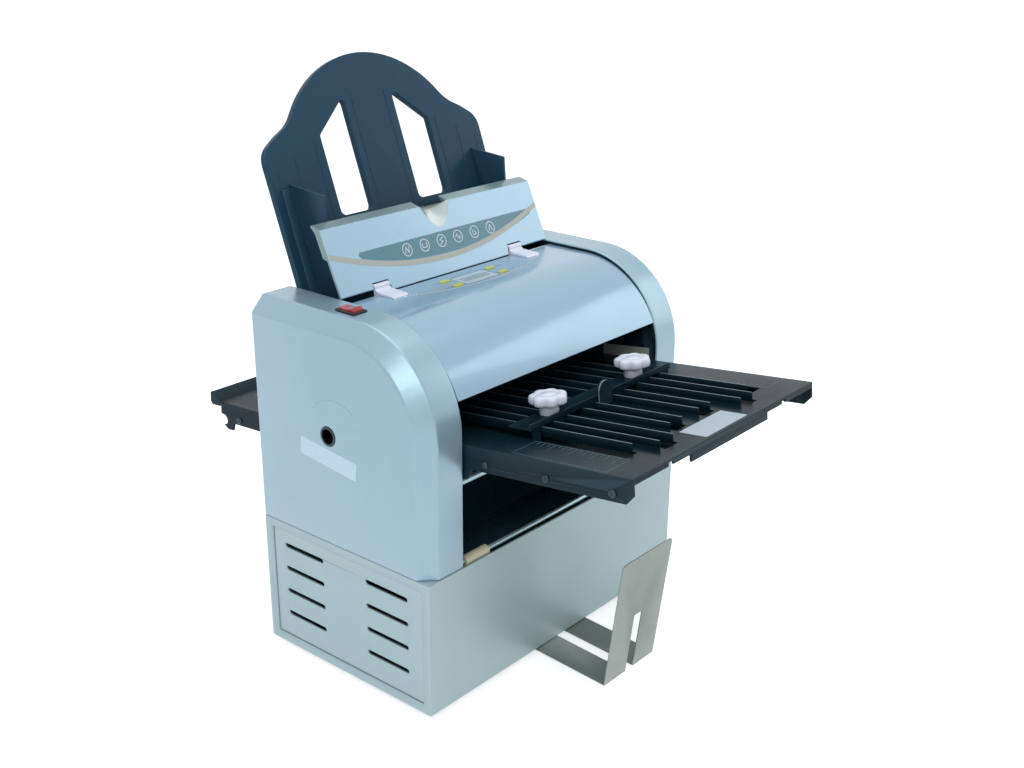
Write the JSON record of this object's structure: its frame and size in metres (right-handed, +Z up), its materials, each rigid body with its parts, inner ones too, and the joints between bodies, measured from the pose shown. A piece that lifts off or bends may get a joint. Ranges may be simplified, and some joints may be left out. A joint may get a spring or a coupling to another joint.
{
  "type": "paper folding machine",
  "caption": "Desk-top buckle folder: leaning feed tray, hinged hopper lid, curved hood, stacked fold rollers, two slotted fold plates with clamped stop bars, and a bent sheet stacker.",
  "frame": {"origin": "on the desk, under the middle of the machine's bounding box", "axes": "+X to the user's right along the rollers, -Y towards the user and the front fold plate, +Z up"},
  "size_m": [0.3365, 0.4745, 0.4937],
  "materials": {
    "silver_cover": "satin pearl silver",
    "hood_gloss": "glossy pale silver blue",
    "base_paint": "satin pale grey",
    "satin_black": "satin black",
    "tray_plastic": "dark blue grey plastic",
    "steel": "plain",
    "chrome": "polished",
    "rubber": "matte",
    "white_plastic": "glossy white",
    "cream_plastic": "satin cream",
    "gear_plastic": "natural nylon",
    "rocker_red": "glossy red",
    "black_plastic": "satin black",
    "key_plastic": "yellow green",
    "display_glass": "clear grey",
    "board": "green board",
    "stacker_steel": "brushed grey",
    "bronze": "sintered bronze"
  },
  "bodies": {
    "machine": {"base_shell": "base_paint", "bottom_plate": "steel", "rubber_feet": "rubber", "vent_panel": "base_paint", "exit_deck": "satin_black", "left_end_cover": "silver_cover", "right_end_cover": "silver_cover", "rear_cover": "silver_cover", "front_hood": "hood_gloss", "display_window": "display_glass", "control_board": "board", "lid_hinges": "white_plastic", "hopper_back": "satin_black", "left_side_frame": "satin_black", "right_side_frame": "satin_black", "support_rods": "chrome", "roller_bushes": "bronze", "separator_pad": "rubber", "drive_motor": "steel", "exit_rod": "chrome", "stacker_screw": "steel", "power_supply": "steel", "mains_inlet": "black_plastic", "switch_bezel": "black_plastic", "crank_bush": "chrome"},
    "start_key": {"start_key": "key_plastic"},
    "stop_key": {"stop_key": "key_plastic"},
    "plus_key": {"plus_key": "key_plastic"},
    "minus_key": {"minus_key": "key_plastic"},
    "lid": {"hopper_lid": "hood_gloss", "hinge_pins": "steel"},
    "tray": {"paper_tray": "tray_plastic"},
    "left_guide": {"left_guide": "tray_plastic"},
    "right_guide": {"right_guide": "tray_plastic"},
    "guide_pinion": {"guide_pinion": "gear_plastic"},
    "roller_1": {"fold_roller_1": "steel"},
    "roller_2": {"fold_roller_2": "steel"},
    "roller_3": {"fold_roller_3": "steel"},
    "roller_4": {"fold_roller_4": "steel"},
    "feed": {"feed_shaft": "steel", "feed_tyres": "rubber"},
    "idler": {"idler_gear": "gear_plastic"},
    "rotor": {"motor_pinion": "steel"},
    "left_sleeve": {"left_sleeve": "cream_plastic"},
    "right_sleeve": {"right_sleeve": "cream_plastic"},
    "front_plate": {"front_plate_upper": "satin_black", "front_plate_lower": "satin_black", "front_plate_screws": "steel"},
    "front_stop": {"front_stop_bar": "satin_black"},
    "front_knob_left": {"front_knob_left": "white_plastic"},
    "front_knob_right": {"front_knob_right": "white_plastic"},
    "rear_plate": {"rear_plate_upper": "satin_black", "rear_plate_lower": "satin_black", "rear_plate_screws": "steel"},
    "rear_stop": {"rear_stop_bar": "satin_black"},
    "rear_knob_left": {"rear_knob_left": "white_plastic"},
    "rear_knob_right": {"rear_knob_right": "white_plastic"},
    "stacker": {"stacker": "stacker_steel"},
    "rocker": {"power_rocker": "rocker_red"}
  },
  "joints": [
    {"name": "power_switch", "type": "hinge", "parent": "machine", "child": "rocker", "pos_m": [-0.1416, 0.02269, 0.3185], "axis": [1, 0, 0], "range_deg": [0, 14]},
    {"name": "start_key_press", "type": "slide", "parent": "machine", "child": "start_key", "axis": [0, 0, -1], "range_m": [0, 0.0008], "stiffness_N_per_m": 300, "springref_m": -0.0005},
    {"name": "stop_key_press", "type": "slide", "parent": "machine", "child": "stop_key", "axis": [0, 0, -1], "range_m": [0, 0.0008], "stiffness_N_per_m": 300, "springref_m": -0.0005},
    {"name": "plus_key_press", "type": "slide", "parent": "machine", "child": "plus_key", "axis": [0, 0, -1], "range_m": [0, 0.0008], "stiffness_N_per_m": 300, "springref_m": -0.0005},
    {"name": "minus_key_press", "type": "slide", "parent": "machine", "child": "minus_key", "axis": [0, 0, -1], "range_m": [0, 0.0008], "stiffness_N_per_m": 300, "springref_m": -0.0005},
    {"name": "lid_turn", "type": "hinge", "parent": "machine", "child": "lid", "pos_m": [0.00375, 0.05168, 0.32232], "axis": [1, 0, 0], "range_deg": [0, 105]},
    {"name": "tray_lift", "type": "slide", "parent": "machine", "child": "tray", "axis": [0, 0.3437, 0.9391], "range_m": [0, 0.03]},
    {"name": "left_guide_slide", "type": "slide", "parent": "tray", "child": "left_guide", "axis": [1, 0, 0], "range_m": [0, 0.036]},
    {"name": "right_guide_slide", "type": "slide", "parent": "tray", "child": "right_guide", "axis": [1, 0, 0], "range_m": [-0.036, 0]},
    {"name": "guide_pinion_turn", "type": "hinge", "parent": "tray", "child": "guide_pinion", "pos_m": [0.00375, 0.1096, 0.34227], "axis": [0, 0.9391, -0.3437], "range_deg": [0, 180]},
    {"name": "roller_1_spin", "type": "hinge", "parent": "machine", "child": "roller_1", "pos_m": [0.00375, 0.027, 0.2216], "axis": [1, 0, 0], "continuous": true},
    {"name": "roller_2_spin", "type": "hinge", "parent": "machine", "child": "roller_2", "pos_m": [0.00375, 0.02501, 0.20401], "axis": [1, 0, 0], "continuous": true},
    {"name": "roller_3_spin", "type": "hinge", "parent": "machine", "child": "roller_3", "pos_m": [0.00375, 0.02387, 0.18635], "axis": [1, 0, 0], "continuous": true},
    {"name": "roller_4_spin", "type": "hinge", "parent": "machine", "child": "roller_4", "pos_m": [0.00375, 0.02992, 0.16972], "axis": [1, 0, 0], "continuous": true},
    {"name": "feed_spin", "type": "hinge", "parent": "machine", "child": "feed", "pos_m": [0.00375, 0.0538, 0.24985], "axis": [1, 0, 0], "continuous": true},
    {"name": "idler_spin", "type": "hinge", "parent": "machine", "child": "idler", "pos_m": [0.142, 0.0593, 0.15902], "axis": [1, 0, 0], "continuous": true},
    {"name": "motor_spin", "type": "hinge", "parent": "machine", "child": "rotor", "pos_m": [0.142, 0.08736, 0.14991], "axis": [1, 0, 0], "continuous": true},
    {"name": "left_sleeve_spin", "type": "hinge", "parent": "machine", "child": "left_sleeve", "pos_m": [-0.1, -0.07361, 0.126], "axis": [1, 0, 0], "continuous": true},
    {"name": "right_sleeve_spin", "type": "hinge", "parent": "machine", "child": "right_sleeve", "pos_m": [0.11, -0.07361, 0.126], "axis": [1, 0, 0], "continuous": true},
    {"name": "front_plate_pull", "type": "slide", "parent": "machine", "child": "front_plate", "axis": [0, -0.9937, 0.1123], "range_m": [0, 0.12]},
    {"name": "front_stop_slide", "type": "slide", "parent": "front_plate", "child": "front_stop", "axis": [0, -0.9937, 0.1123], "range_m": [-0.045, 0.084]},
    {"name": "front_knob_left_turn", "type": "hinge", "parent": "front_stop", "child": "front_knob_left", "pos_m": [-0.05325, -0.10459, 0.25379], "axis": [0, 0.1123, 0.9937], "range_deg": [0, 360]},
    {"name": "front_knob_right_turn", "type": "hinge", "parent": "front_stop", "child": "front_knob_right", "pos_m": [0.06075, -0.10459, 0.25379], "axis": [0, 0.1123, 0.9937], "range_deg": [0, 360]},
    {"name": "rear_plate_pull", "type": "slide", "parent": "machine", "child": "rear_plate", "axis": [0, 0.9979, -0.0645], "range_m": [0, 0.09]},
    {"name": "rear_stop_slide", "type": "slide", "parent": "rear_plate", "child": "rear_stop", "axis": [0, 0.9979, -0.0645], "range_m": [-0.005, 0.052]},
    {"name": "rear_knob_left_turn", "type": "hinge", "parent": "rear_stop", "child": "rear_knob_left", "pos_m": [-0.05325, 0.14023, 0.21378], "axis": [0, 0.0645, 0.9979], "range_deg": [0, 360]},
    {"name": "rear_knob_right_turn", "type": "hinge", "parent": "rear_stop", "child": "rear_knob_right", "pos_m": [0.06075, 0.14023, 0.21378], "axis": [0, 0.0645, 0.9979], "range_deg": [0, 360]},
    {"name": "stacker_slide", "type": "slide", "parent": "machine", "child": "stacker", "axis": [0, 1, 0], "range_m": [-0.045, 0.03]}
  ],
  "couplings": [
    {"joint": "right_guide_slide", "follows": "left_guide_slide", "ratio": -1},
    {"joint": "guide_pinion_turn", "follows": "left_guide_slide", "rad_per_m": 83.333},
    {"joint": "roller_2_spin", "follows": "roller_1_spin", "ratio": -1},
    {"joint": "roller_3_spin", "follows": "roller_1_spin", "ratio": 1},
    {"joint": "roller_4_spin", "follows": "roller_1_spin", "ratio": -1},
    {"joint": "feed_spin", "follows": "roller_1_spin", "ratio": -0.29412},
    {"joint": "idler_spin", "follows": "roller_1_spin", "ratio": 0.39474},
    {"joint": "motor_spin", "follows": "roller_1_spin", "ratio": -1.25}
  ]
}
